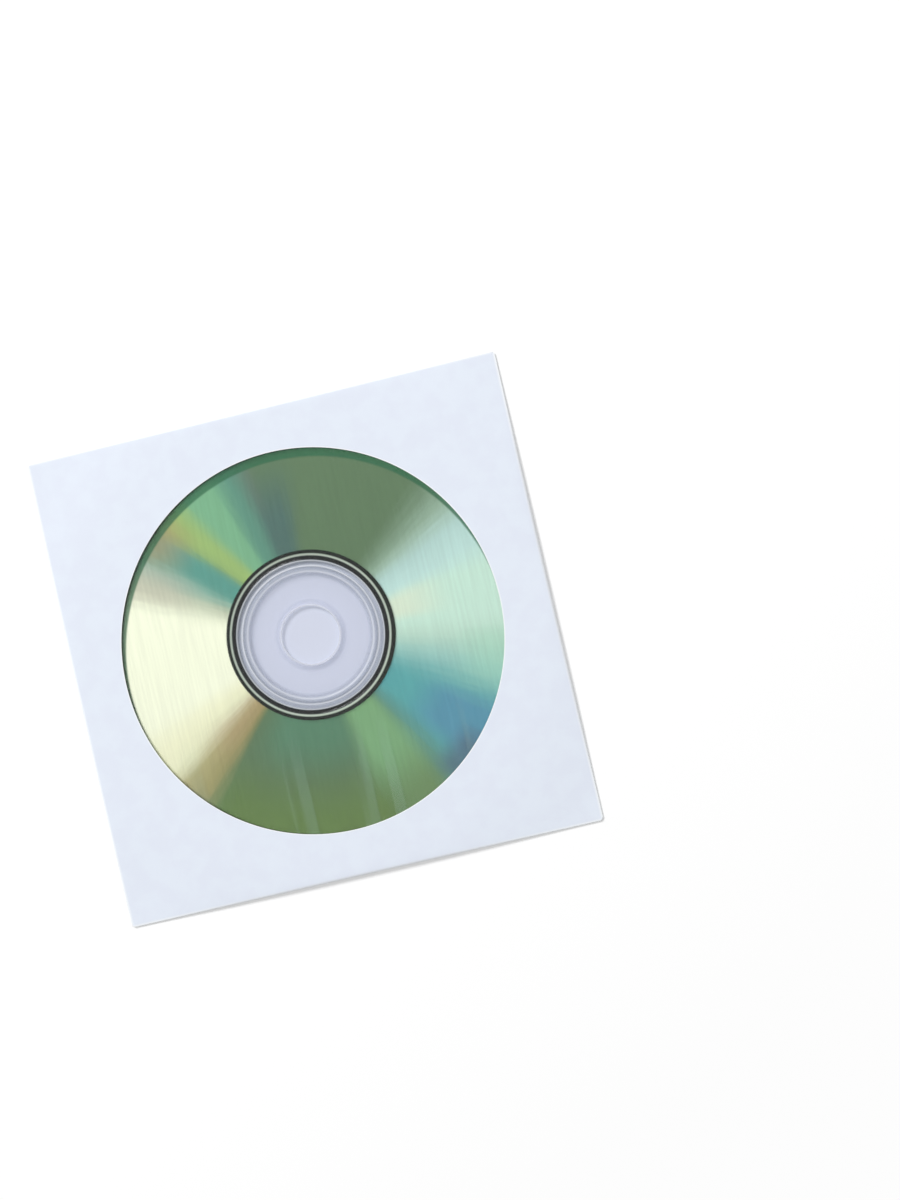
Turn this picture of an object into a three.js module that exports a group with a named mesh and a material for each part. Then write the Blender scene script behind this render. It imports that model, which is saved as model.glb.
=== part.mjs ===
// A paper disc sleeve with a round film window, closed, with one optical disc inside.
// It lies on its back with the window up. Units are millimetres.
// +X runs across the sleeve, +Y runs to the edge where the flap is folded, +Z points up.
// The origin is the middle of the underside.

import * as THREE from 'three';

// Sleeve, folded from one die-cut sheet of paper
const SLEEVE_WIDTH = 126;      // closed sleeve, across
const SLEEVE_HEIGHT = 124;     // closed sleeve, from the bottom fold to the flap's fold
const PAPER = 0.12;            // thickness of the sheet
const GLUE = 0.03;             // glue line or air between two layers that lie on each other
const WINDOW_DIAMETER = 100;   // hole cut in the front panel
const TAB_WIDTH = 12;          // side tabs, folded in and glued inside the back panel
const TAB_TAPER = 3;           // how much shorter each tab end is at its free edge
const TAB_TAPER_LENGTH = 11;   // stretch of the tab over which its end is cut slanting
const CORNER_RELIEF = 0.8;     // folds stop this far from each corner, so that they don't collide
const THROAT_SETBACK = 3;      // the back panel ends this far below the flap's fold
const FLAP_DEPTH = 20;         // flap folded over behind the back panel
const FLAP_INSET = 5.7;        // the flap's free edge is this much narrower at each end
const FLAP_CORNER = 3;         // rounding of the flap's free corners
const STEP_LENGTH = 3;         // stretch over which a layer climbs onto the one beneath it

// Film glued behind the window
const FILM = 0.03;             // thickness of the film
const FILM_SIDE = 112;         // side of the square patch

// Disc, a clear moulded plate with a reflective recording layer on its label side
const DISC_DIAMETER = 120;
const DISC_THICKNESS = 1.2;    // plate and layer together
const LAYER = 0.05;            // dye, metal and lacquer
const LAYER_INNER_DIAMETER = 42.4;
const LAYER_EDGE_MARGIN = 1;   // clear rim outside the layer
const HOLE_DIAMETER = 15;
const EDGE_CHAMFER = 0.2;
const RING_DIAMETER = 34;      // stacking ring, moulded on the read side
const RING_WIDTH = 1;
const RING_HEIGHT = 0.15;
const GROOVE_DIAMETER = 40;    // moulding groove round the clear hub
const GROOVE_WIDTH = 0.8;
const GROOVE_DEPTH = 0.12;
const DISC_SHIFT = 1.5;        // the disc has slid this far towards the flap
const SLIP = 0.05;             // play between the disc and what lies above and below it

// Facets
const EDGE_STEP = 8.5;         // greatest distance between two points along a fold
const PANEL_STEP = 17;         // greatest distance between two rows of the flat back panel
const BEND_FACETS = 6;         // facets of each half-round fold
const CORNER_FACETS = 4;       // facets of each rounded corner of the flap
const DISC_FACETS = 96;
const FILM_STEP = 8;           // greatest distance between two rings of facets of the free film
const GLUED_RINGS = 5;         // rings of facets between the window and the film's border
const RIM_RINGS = 2;           // rings of facets between the film's border and the folds

// Sizes that follow from those above
const HALF_WIDTH = SLEEVE_WIDTH / 2;
const HALF_HEIGHT = SLEEVE_HEIGHT / 2;
const WINDOW_RADIUS = WINDOW_DIAMETER / 2;
const DISC_RADIUS = DISC_DIAMETER / 2;
const CORNER_REACH = Math.hypot(HALF_WIDTH, HALF_HEIGHT);
const FLAP_EDGE = HALF_HEIGHT - FLAP_DEPTH;
const STEP_TOP = FLAP_EDGE - STEP_LENGTH / 3;
const STEP_FOOT = STEP_TOP - STEP_LENGTH;

// Heights of the layers, from the surface that the sleeve lies on upwards
const SHEET_PITCH = PAPER + GLUE;
const LOWEST = PAPER / 2;
const DISC_BOTTOM = PAPER + SHEET_PITCH + SLIP;
const DISC_TOP = DISC_BOTTOM + DISC_THICKNESS;
const FILM_LEVEL = DISC_TOP + SLIP + FILM / 2;
const FRONT_LEVEL = FILM_LEVEL + FILM / 2 + GLUE + PAPER / 2;
const CORNER_LEVEL = LOWEST + 3 * SHEET_PITCH + SLIP;

const smooth = (t) => {
  const c = THREE.MathUtils.clamp(t, 0, 1);
  return c * c * (3 - 2 * c);
};

// The back panel lies lowest, and climbs over the flap that is folded behind it
const backHeight = (y) => {
  const climb = THREE.MathUtils.clamp((y - STEP_FOOT) / STEP_LENGTH, 0, 1);
  return LOWEST + SHEET_PITCH * climb;
};

// The tabs lie on the inner face of the back panel
const tabHeight = (y) => backHeight(y) + SHEET_PITCH;

// The front panel lies flat over the disc and sinks from the disc's rim to the corners
const frontHeight = (x, y) => {
  const reach = Math.hypot(x, y - DISC_SHIFT);
  const fall = smooth((reach - DISC_RADIUS) / (CORNER_REACH - DISC_RADIUS));
  return THREE.MathUtils.lerp(FRONT_LEVEL, CORNER_LEVEL, fall);
};

// The film is stretched from the window's edge over the disc's stacking ring
const FILM_TOP_REACH = (RING_DIAMETER + RING_WIDTH) / 2 + DISC_SHIFT + SLIP;
const filmHeight = (x, y) => {
  const reach = Math.hypot(x, y);
  if (reach >= WINDOW_RADIUS) {
    return frontHeight(x, y) - PAPER / 2 - GLUE - FILM / 2;
  }
  const fall = smooth((reach - FILM_TOP_REACH) / (WINDOW_RADIUS - FILM_TOP_REACH));
  return FILM_LEVEL + RING_HEIGHT * (1 - fall);
};

// Even positions between each two neighbouring stops, no further apart than the step
function positions(stops, step) {
  const list = [stops[0]];
  for (let i = 1; i < stops.length; i += 1) {
    const from = stops[i - 1];
    const span = stops[i] - from;
    const count = Math.max(1, Math.ceil(Math.abs(span) / step - 1e-6));
    for (let k = 1; k <= count; k += 1) list.push(from + (span * k) / count);
  }
  return list;
}

// A thin sheet, drawn as its middle surface in rows of points and then given its thickness
class Sheet {
  constructor() {
    this.points = [];
    this.faces = [];
  }

  addPoint(x, y, z) {
    this.points.push(new THREE.Vector3(x, y, z));
    return this.points.length - 1;
  }

  addRow(list, place) {
    return list.map((item, index) => this.addPoint(...place(item, index)));
  }

  // Joins two rows of points by a strip of facets, once round where the rows are closed
  stitch(inner, outer, closed = false) {
    const last = closed ? inner.length : inner.length - 1;
    for (let j = 0; j < last; j += 1) {
      const k = (j + 1) % inner.length;
      this.faces.push([inner[j], outer[j], outer[k]], [inner[j], outer[k], inner[k]]);
    }
  }

  // Closes a ring of points over one point in its middle
  fan(centre, ring) {
    ring.forEach((point, j) => this.faces.push([centre, point, ring[(j + 1) % ring.length]]));
  }

  // Offsets the middle surface to both sides and walls the free edges
  thicken(thickness) {
    const normals = this.points.map(() => new THREE.Vector3());
    const edges = new Map();
    const ab = new THREE.Vector3();
    const ac = new THREE.Vector3();
    this.faces.forEach((face) => {
      const [a, b, c] = face.map((index) => this.points[index]);
      const normal = ab.subVectors(b, a).cross(ac.subVectors(c, a));
      face.forEach((index) => normals[index].add(normal));
      face.forEach((from, side) => {
        const to = face[(side + 1) % 3];
        edges.set(`${from}:${to}`, [from, to]);
      });
    });
    const side = (sign) => this.points.map((point, index) => {
      const offset = normals[index].clone().setLength((sign * thickness) / 2);
      return point.clone().add(offset).toArray();
    });
    const count = this.points.length;
    const triangles = [];
    this.faces.forEach(([a, b, c]) => {
      triangles.push(a, b, c);
      triangles.push(a + count, c + count, b + count);
    });
    edges.forEach(([from, to]) => {
      if (edges.has(`${to}:${from}`)) return;
      triangles.push(from, from + count, to + count);
      triangles.push(from, to + count, to);
    });
    const geometry = new THREE.BufferGeometry();
    const corners = [...side(1), ...side(-1)].flat();
    geometry.setAttribute('position', new THREE.Float32BufferAttribute(corners, 3));
    geometry.setIndex(triangles);
    geometry.computeVertexNormals();
    return geometry;
  }
}

// The four edges, anticlockwise from the right. Along each one, u points out and s runs on.
// out is the edge's distance from the middle, and foldEnd and corner are places along it.
// stops are the places where the layer beneath bends, and under gives that layer's height.
function sleeveEdge(turn, out, halfLength, stops, under) {
  const foldEnd = halfLength - CORNER_RELIEF;
  const corner = halfLength - CORNER_RELIEF / 2;
  return { turn, out, foldEnd, corner, stops: [-corner, -foldEnd, ...stops, foldEnd, corner], under };
}

const RIGHT = sleeveEdge(0, HALF_WIDTH, HALF_HEIGHT, [STEP_FOOT, STEP_TOP], tabHeight);
const TOP = sleeveEdge(1, HALF_HEIGHT, HALF_WIDTH, [], () => LOWEST);
const LEFT = sleeveEdge(2, HALF_WIDTH, HALF_HEIGHT, [-STEP_TOP, -STEP_FOOT], tabHeight);
const BOTTOM = sleeveEdge(3, HALF_HEIGHT, HALF_WIDTH, [], () => LOWEST);
const EDGES = [RIGHT, TOP, LEFT, BOTTOM];

const onEdge = (turn, u, s) => {
  const cos = Math.round(Math.cos((turn * Math.PI) / 2));
  const sin = Math.round(Math.sin((turn * Math.PI) / 2));
  return [u * cos - s * sin, u * sin + s * cos];
};

// Where the front panel meets each fold, and the radius of the fold there
function foldStations() {
  const stations = [];
  EDGES.forEach((edge) => {
    const along = positions(edge.stops, EDGE_STEP).slice(0, -1);
    along.forEach((s) => {
      const [x, y] = onEdge(edge.turn, edge.out, s);
      const z = frontHeight(x, y);
      if (Math.abs(s) > edge.foldEnd) {
        const [cornerX, cornerY] = onEdge(edge.turn, edge.out - CORNER_RELIEF / 2, s);
        stations.push({ edge, s, x: cornerX, y: cornerY, z, corner: true });
        return;
      }
      const low = edge.under(y);
      const radius = (z - low) / 2;
      const foldLine = edge.out - PAPER / 2 - radius;
      const [foldX, foldY] = onEdge(edge.turn, foldLine, s);
      stations.push({ edge, s, x: foldX, y: foldY, z, low, radius, foldLine, corner: false });
    });
  });
  return stations;
}

const STATIONS = foldStations();

// Rings of points on straight spokes, from the window's edge to the film's square border
function gluedRings(sheet, height) {
  const rings = [];
  for (let k = 0; k <= GLUED_RINGS; k += 1) {
    rings.push(sheet.addRow(STATIONS, ({ x, y }) => {
      const toBorder = FILM_SIDE / 2 / Math.max(Math.abs(x), Math.abs(y));
      const toWindow = WINDOW_RADIUS / Math.hypot(x, y);
      const share = THREE.MathUtils.lerp(toWindow, toBorder, k / GLUED_RINGS);
      return [x * share, y * share, height(x * share, y * share)];
    }));
    if (k > 0) sheet.stitch(rings[k - 1], rings[k], true);
  }
  return rings;
}

// Front panel: a square with the round window, which ends where the folds begin
function addFrontPanel(sheet) {
  const rings = gluedRings(sheet, frontHeight);
  const filmBorder = rings[rings.length - 1];
  let inner = filmBorder;
  for (let k = 1; k <= RIM_RINGS; k += 1) {
    const row = sheet.addRow(STATIONS, (station, index) => {
      const start = sheet.points[filmBorder[index]];
      const x = THREE.MathUtils.lerp(start.x, station.x, k / RIM_RINGS);
      const y = THREE.MathUtils.lerp(start.y, station.y, k / RIM_RINGS);
      return [x, y, k === RIM_RINGS ? station.z : frontHeight(x, y)];
    });
    sheet.stitch(inner, row, true);
    inner = row;
  }
  return inner;
}

// Half-round fold along one edge, from the front panel down to the layer behind it
function addFold(sheet, border, edge) {
  const picked = STATIONS.map((station, index) => ({ ...station, point: border[index] }))
    .filter((station) => station.edge === edge && !station.corner);
  let row = picked.map((station) => station.point);
  for (let k = 1; k <= BEND_FACETS; k += 1) {
    const angle = (Math.PI * k) / BEND_FACETS;
    const next = sheet.addRow(picked, ({ s, z, low, radius, foldLine }) => {
      const u = foldLine + radius * Math.sin(angle);
      const height = (z + low) / 2 + radius * Math.cos(angle);
      return [...onEdge(edge.turn, u, s), height];
    });
    sheet.stitch(row, next);
    row = next;
  }
  return { row, along: picked.map((station) => station.s) };
}

// Side tab: its ends are cut slanting, so that it is shorter at its free edge
function addTab(sheet, border, edge) {
  const { row, along } = addFold(sheet, border, edge);
  const straight = edge.foldEnd - TAB_TAPER_LENGTH;
  const slant = TAB_TAPER / TAB_TAPER_LENGTH;
  const freeEdge = sheet.addRow(along, (s) => {
    const past = Math.max(0, Math.abs(s) - straight);
    const [x, y] = onEdge(edge.turn, edge.out - TAB_WIDTH, s - Math.sign(s) * past * slant);
    return [x, y, tabHeight(y)];
  });
  sheet.stitch(row, freeEdge);
}

// Back panel: folded up from the bottom edge as far as the throat
function addBackPanel(sheet, border) {
  let { row, along } = addFold(sheet, border, BOTTOM);
  const throat = HALF_HEIGHT - THROAT_SETBACK;
  const stops = [-HALF_HEIGHT + PANEL_STEP, STEP_FOOT, STEP_TOP, throat];
  positions(stops, PANEL_STEP).forEach((y) => {
    const next = sheet.addRow(along, (s) => [s, y, backHeight(y)]);
    sheet.stitch(row, next);
    row = next;
  });
}

// Flap: folded over behind the back panel, narrower towards its free edge, with round corners
function addFlap(sheet, border) {
  let { row, along } = addFold(sheet, border, TOP);
  const straight = FLAP_DEPTH - FLAP_CORNER;
  const rows = [{ depth: straight / 2, cut: 0 }, { depth: straight, cut: 0 }];
  for (let k = 1; k <= CORNER_FACETS; k += 1) {
    const angle = ((Math.PI / 2) * k) / CORNER_FACETS;
    rows.push({ depth: straight + FLAP_CORNER * Math.sin(angle), cut: FLAP_CORNER * (1 - Math.cos(angle)) });
  }
  rows.forEach(({ depth, cut }) => {
    const share = 1 - ((FLAP_INSET * depth) / FLAP_DEPTH + cut) / TOP.foldEnd;
    const next = sheet.addRow(along, (s) => {
      return [...onEdge(TOP.turn, TOP.out - depth, s * share), LOWEST];
    });
    sheet.stitch(row, next);
    row = next;
  });
}

function paperSleeve() {
  const sheet = new Sheet();
  const border = addFrontPanel(sheet);
  addTab(sheet, border, RIGHT);
  addTab(sheet, border, LEFT);
  addBackPanel(sheet, border);
  addFlap(sheet, border);
  return sheet.thicken(PAPER);
}

// Window film: one square patch, glued to the inner face of the front panel
function windowFilm() {
  const sheet = new Sheet();
  const rings = gluedRings(sheet, filmHeight);
  const radii = positions([WINDOW_RADIUS, FILM_TOP_REACH], FILM_STEP).slice(1);
  let outer = rings[0];
  [...radii, FILM_TOP_REACH / 2].forEach((radius) => {
    const ring = sheet.addRow(STATIONS, ({ x, y }) => {
      const share = radius / Math.hypot(x, y);
      return [x * share, y * share, filmHeight(x * share, y * share)];
    });
    sheet.stitch(ring, outer, true);
    outer = ring;
  });
  const centre = sheet.addPoint(0, 0, filmHeight(0, 0));
  sheet.fan(centre, outer);
  return sheet.thicken(FILM);
}

// Turns a closed outline of radius and height into a solid of revolution about +Z
function turned(outline) {
  const closed = [...outline, outline[0]].map(([radius, height]) => new THREE.Vector2(radius, height));
  const geometry = new THREE.LatheGeometry(closed, DISC_FACETS);
  geometry.rotateX(Math.PI / 2);
  return geometry;
}

// Clear plate: chamfered hole and rim, a stacking ring and a moulding groove on the read side
function discSubstrate() {
  const plate = DISC_THICKNESS - LAYER;
  const hole = HOLE_DIAMETER / 2;
  const rim = DISC_RADIUS;
  const ringIn = (RING_DIAMETER - RING_WIDTH) / 2;
  const ringOut = (RING_DIAMETER + RING_WIDTH) / 2;
  const grooveIn = (GROOVE_DIAMETER - GROOVE_WIDTH) / 2;
  const grooveOut = (GROOVE_DIAMETER + GROOVE_WIDTH) / 2;
  return turned([
    [hole + EDGE_CHAMFER, 0],
    [rim - EDGE_CHAMFER, 0],
    [rim, EDGE_CHAMFER],
    [rim, plate - EDGE_CHAMFER],
    [rim - EDGE_CHAMFER, plate],
    [grooveOut, plate],
    [grooveOut - GROOVE_WIDTH / 4, plate - GROOVE_DEPTH],
    [grooveIn + GROOVE_WIDTH / 4, plate - GROOVE_DEPTH],
    [grooveIn, plate],
    [ringOut, plate],
    [ringOut - RING_WIDTH / 4, plate + RING_HEIGHT],
    [ringIn + RING_WIDTH / 4, plate + RING_HEIGHT],
    [ringIn, plate],
    [hole + EDGE_CHAMFER, plate],
    [hole, plate - EDGE_CHAMFER],
    [hole, EDGE_CHAMFER],
  ]);
}

// Recording layer: a thin flat ring under the plate, seen through it
function discLayer() {
  const inner = LAYER_INNER_DIAMETER / 2;
  const outer = DISC_RADIUS - LAYER_EDGE_MARGIN;
  return turned([[inner, 0], [outer, 0], [outer, LAYER], [inner, LAYER]]);
}

function piece(name, geometry, look) {
  const mesh = new THREE.Mesh(geometry, new THREE.MeshStandardMaterial(look));
  mesh.name = name;
  return mesh;
}

const model = new THREE.Group();

model.add(piece('paper_sleeve', paperSleeve(), { color: 0xe9edf6, roughness: 0.9, metalness: 0 }));

model.add(piece('window_film', windowFilm(), {
  color: 0xeef2f8, roughness: 0.12, metalness: 0, transparent: true, opacity: 0.2,
}));

const disc = new THREE.Group();
disc.position.set(0, DISC_SHIFT, DISC_BOTTOM);

const layer = piece('disc_recording_layer', discLayer(), {
  color: 0x8fae96, roughness: 0.2, metalness: 0.9,
});
disc.add(layer);

const substrate = piece('disc_substrate', discSubstrate(), {
  color: 0xdfe6ee, roughness: 0.05, metalness: 0, transparent: true, opacity: 0.3,
});
substrate.position.z = LAYER;
disc.add(substrate);

model.add(disc);

export default model;
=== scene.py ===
# %% [markdown]
# A paper disc sleeve, closed, with one disc behind its round film window. The real sleeve is one
# die-cut sheet of white paper: a front panel with a round hole, two side tabs folded in, a back panel
# folded up and glued onto the tabs, and a flap folded over behind. A square patch of clear film is
# glued behind the hole. The disc inside is a clear moulded plate with a reflective coat on its label
# side, and the window shows its read side. This script dresses the packed model: it loads the solids
# as a fixed frame, and builds a finer mesh and a finish for each piece in the same place.

# %% Load the frame
import math

import bpy
import bmesh
from mathutils import Vector, Matrix


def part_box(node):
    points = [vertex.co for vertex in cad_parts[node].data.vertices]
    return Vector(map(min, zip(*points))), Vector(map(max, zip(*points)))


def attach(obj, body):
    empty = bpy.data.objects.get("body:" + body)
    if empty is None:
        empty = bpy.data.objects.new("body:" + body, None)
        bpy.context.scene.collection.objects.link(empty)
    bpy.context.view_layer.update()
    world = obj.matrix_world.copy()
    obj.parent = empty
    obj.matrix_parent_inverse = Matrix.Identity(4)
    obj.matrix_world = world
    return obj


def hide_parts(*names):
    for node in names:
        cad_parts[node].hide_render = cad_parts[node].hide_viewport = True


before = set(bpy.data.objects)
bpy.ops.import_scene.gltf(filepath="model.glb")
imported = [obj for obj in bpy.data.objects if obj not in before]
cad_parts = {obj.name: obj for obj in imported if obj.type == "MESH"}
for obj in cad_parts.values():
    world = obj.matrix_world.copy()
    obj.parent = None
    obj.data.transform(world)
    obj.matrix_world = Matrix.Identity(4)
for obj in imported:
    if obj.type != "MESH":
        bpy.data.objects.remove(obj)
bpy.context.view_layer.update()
print("nodes:", sorted(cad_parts))

# %% [markdown]
# Blender works in metres here, and a sheet of paper is a tenth of a millimetre thick, so a value
# called MM keeps the numbers readable. The overall sizes come from the frame: the sleeve's width,
# height and thickness are those of its solid, and so are the film's width and the disc's diameter,
# place and level. A size that a box can't tell, such as the window's, is written where it is first
# needed, and the window and the two sheets' thicknesses are needed everywhere.

# %% Sizes
MM = 0.001

SLEEVE_LOW, SLEEVE_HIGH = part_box("paper_sleeve")
PLATE_LOW, PLATE_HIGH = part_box("disc_substrate")
COAT_LOW, COAT_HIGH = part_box("disc_recording_layer")
FILM_LOW, FILM_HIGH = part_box("window_film")

HALF_WIDTH = (SLEEVE_HIGH.x - SLEEVE_LOW.x) / 2
HALF_HEIGHT = (SLEEVE_HIGH.y - SLEEVE_LOW.y) / 2
FILM_HALF = (FILM_HIGH.x - FILM_LOW.x) / 2
DISC_RADIUS = (PLATE_HIGH.x - PLATE_LOW.x) / 2
DISC_CENTRE = Vector(((PLATE_HIGH.x + PLATE_LOW.x) / 2, (PLATE_HIGH.y + PLATE_LOW.y) / 2, 0))
WINDOW_RADIUS = 50 * MM
PAPER = 0.12 * MM
FILM = 0.03 * MM
print("disc centre in mm:", round(DISC_CENTRE.x / MM, 2), round(DISC_CENTRE.y / MM, 2))

# %% [markdown]
# The photograph looks almost straight down on a sleeve that is turned a little on the table. Three
# things settle such a camera: where it stands, the point that it looks at, and its roll. A tracking
# constraint is a poor choice for a view straight down, because it has no clear idea of "up" there, so
# the camera's three axes are worked out from the line of sight and the sleeve's own +Y direction.
# The long lens keeps the square almost free of perspective.

# %% Camera
CAMERA_PLACE = Vector((113.1, -31.5, 768.6)) * MM
CAMERA_TARGET = Vector((37.2, 2.0, 0.0)) * MM
CAMERA_ROLL = math.radians(13.1)
CAMERA_LENS = 90
CAMERA_CLIP = 10 * MM

sight = (CAMERA_TARGET - CAMERA_PLACE).normalized()
sleeve_up = Vector((0, 1, 0))
level_up = (sleeve_up - sight * sleeve_up.dot(sight)).normalized()
level_right = sight.cross(level_up)
camera_up = level_up * math.cos(CAMERA_ROLL) + level_right * math.sin(CAMERA_ROLL)
camera_right = sight.cross(camera_up)

camera_data = bpy.data.cameras.new("camera")
camera_data.lens = CAMERA_LENS
camera_data.clip_start = CAMERA_CLIP
camera = bpy.data.objects.new("camera", camera_data)
axes = Matrix((camera_right, camera_up, -sight)).transposed()
camera.matrix_world = Matrix.Translation(CAMERA_PLACE) @ axes.to_4x4()
bpy.context.scene.collection.objects.link(camera)
bpy.context.scene.camera = camera
print("camera height in mm:", round(CAMERA_PLACE.z / MM), "tilt in degrees:",
      round(math.degrees(math.acos(-sight.z)), 1))

# %% [markdown]
# The light is that of a plain pale studio. One soft lamp stands beyond the flap's edge, a little to
# the left, and gives the shadows a direction. A lamp's power is set in watts, which says little about
# how bright a surface gets. So the helper works backwards: it takes the share of full white that the
# lamp should give to a white floor, and works out the power from the lamp's distance and height.
# A small lamp of one watt gives a facing surface 1 / (pi * distance) ** 2 of full white.

# %% Key lamp
KEY_SHARE = 0.54
KEY_DISTANCE = 2.2
KEY_SIZE = 0.8
KEY_AZIMUTH = math.radians(118)
KEY_ELEVATION = math.radians(50)


def add_lamp(name, azimuth, elevation, distance, size, share):
    """A square area lamp that brings a white floor at the origin to the given share of white."""
    towards = Vector((
        math.cos(elevation) * math.cos(azimuth),
        math.cos(elevation) * math.sin(azimuth),
        math.sin(elevation),
    ))
    data = bpy.data.lights.new(name, "AREA")
    data.size = size
    data.energy = share * math.pi ** 2 * distance ** 2 / math.sin(elevation)
    lamp = bpy.data.objects.new(name, data)
    lamp.location = towards * distance
    lamp.rotation_mode = "QUATERNION"
    lamp.rotation_quaternion = towards.to_track_quat("Z", "Y")
    bpy.context.scene.collection.objects.link(lamp)
    return lamp


key_lamp = add_lamp("key_lamp", KEY_AZIMUTH, KEY_ELEVATION, KEY_DISTANCE, KEY_SIZE, KEY_SHARE)
print("key lamp power in watts:", round(key_lamp.data.energy, 2))

# %% [markdown]
# The world, the floor and all finishes are node trees. In the editor one adds nodes and draws links
# between them; in code both can be one step. This helper adds a node, sets its values and links its
# inputs at once, so that each finish further down reads as a recipe. Colours are given as they look
# on screen, from 0 to 255, and turned into the linear values that the shaders take.

# %% Helpers for node trees


def screen(red, green, blue):
    """A colour given as it looks on screen, as the linear colour that a shader takes. The numbers
    are those of the usual curve of screens: a short straight start, then a power of 2.4."""
    linear = []
    for value in (red, green, blue):
        c = value / 255
        linear.append(c / 12.92 if c <= 0.04045 else ((c + 0.055) / 1.055) ** 2.4)
    return (*linear, 1.0)


class Nodes:
    """A node tree, emptied and then built one node at a time."""

    def __init__(self, owner, output_kind):
        owner.use_nodes = True
        self.tree = owner.node_tree
        self.tree.nodes.clear()
        self.output = self.add(output_kind)

    def add(self, kind, inputs=None, **settings):
        node = self.tree.nodes.new(kind)
        for key, value in settings.items():
            setattr(node, key, value)
        for key, value in (inputs or {}).items():
            self.put(node.inputs[key], value)
        return node

    def put(self, socket, value):
        """Links an output to the socket, or sets the socket to a plain value."""
        if isinstance(value, bpy.types.NodeSocket):
            self.tree.links.new(value, socket)
        elif isinstance(value, bpy.types.Node):
            self.tree.links.new(value.outputs[0], socket)
        else:
            socket.default_value = value

    def math(self, operation, a, b=0.0, clamp=False):
        return self.add("ShaderNodeMath", {0: a, 1: b}, operation=operation, use_clamp=clamp).outputs[0]

    def surface(self, shader):
        self.put(self.output.inputs["Surface"], shader)


print("middle grey on screen is", round(screen(128, 128, 128)[0], 3), "in a shader")

# %% [markdown]
# The rest of the light comes evenly from all round, from the world. Lamp and world together bring a
# white surface to about 1, so that each colour renders about as it is written. Where the camera, a
# reflection or a see-through surface looks at the world, it is plain white; where it only lights
# things, it is dimmer. The Light Path node tells these rays apart. A view can pass many see-through
# faces here, the film's and the plate's on the way in and out, so their allowed number goes up too.

# %% World
SURROUND_SHARE = 0.47
SEE_THROUGH_FACES = 32


def looked_at(nodes):
    """Is 1 for a ray from the camera, a reflection or a see-through surface, and 0 for lighting."""
    ray = nodes.add("ShaderNodeLightPath")
    direct = nodes.math("ADD", ray.outputs["Is Camera Ray"], ray.outputs["Is Glossy Ray"])
    return nodes.math("ADD", direct, ray.outputs["Is Transmission Ray"], clamp=True)


scene = bpy.context.scene
scene.view_settings.view_transform = "Standard"
scene.cycles.transparent_max_bounces = SEE_THROUGH_FACES
scene.world = bpy.data.worlds.new("pale_surround")
world_nodes = Nodes(scene.world, "ShaderNodeOutputWorld")
world_level = world_nodes.add(
    "ShaderNodeMapRange", {"Value": looked_at(world_nodes), "To Min": SURROUND_SHARE})
world_nodes.surface(world_nodes.add(
    "ShaderNodeBackground", {"Color": (1, 1, 1, 1), "Strength": world_level}))
print("the world lights things at", SURROUND_SHARE, "of white")

# %% [markdown]
# The floor is a pale matt plane just beneath the sleeve. Where it is looked at, it gets a small glow
# on top of its own colour. So it reads as white paper, and it still takes the sleeve's shadow, which
# a strong glow would swallow. Further out, where no shadow falls, the lamp is weaker and the glow
# grows, so that the floor meets the white world without a grey band.

# %% Floor
FLOOR_HALF = 3.0
FLOOR_GAP = 0.02 * MM
FLOOR_COLOUR = (0.8, 0.8, 0.8, 1)
FLOOR_GLOW = 0.24
FLOOR_GLOW_FAR = 0.6
GLOW_GROWS_FROM = 0.15
GLOW_GROWS_TO = 1.2

floor_mesh = bpy.data.meshes.new("floor")
floor_corners = [(x * FLOOR_HALF, y * FLOOR_HALF, SLEEVE_LOW.z - FLOOR_GAP)
                 for x, y in ((-1, -1), (1, -1), (1, 1), (-1, 1))]
floor_mesh.from_pydata(floor_corners, [], [(0, 1, 2, 3)])
floor = bpy.data.objects.new("floor", floor_mesh)
scene.collection.objects.link(floor)

floor_finish = bpy.data.materials.new("pale_floor")
floor_nodes = Nodes(floor_finish, "ShaderNodeOutputMaterial")
floor_matt = floor_nodes.add("ShaderNodeBsdfDiffuse", {"Color": FLOOR_COLOUR})
floor_place = floor_nodes.add("ShaderNodeTexCoord").outputs["Object"]
floor_reach = floor_nodes.add("ShaderNodeVectorMath", {0: floor_place}, operation="LENGTH")
glow = floor_nodes.add("ShaderNodeMapRange", {
    "Value": floor_reach.outputs["Value"],
    "From Min": GLOW_GROWS_FROM,
    "From Max": GLOW_GROWS_TO,
    "To Min": FLOOR_GLOW,
    "To Max": FLOOR_GLOW_FAR,
})
seen_glow = floor_nodes.math("MULTIPLY", looked_at(floor_nodes), glow)
floor_glow = floor_nodes.add("ShaderNodeEmission", {"Strength": seen_glow})
floor_nodes.surface(floor_nodes.add("ShaderNodeAddShader", {0: floor_matt, 1: floor_glow}))
floor_mesh.materials.append(floor_finish)
print("floor at mm:", round((SLEEVE_LOW.z - FLOOR_GAP) / MM, 3))

# %% [markdown]
# Paper and film are sheets, so both are drawn first as a surface without thickness. The surface is
# made of rows of points: each row runs along a fold or round the window, and two neighbouring rows
# are stitched together by a strip of four-sided faces. It could be modelled by extruding edges by
# hand, but rows from formulas keep every layer exactly parallel to the next, and the layers of this
# sleeve are only hundredths of a millimetre apart. The Solidify modifier then gives the surface its
# thickness on both sides, and an angle limit keeps the cut edges crisp and the folds smooth.

# %% Sheets from rows of points
SHARP_ANGLE = math.radians(40)


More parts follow.
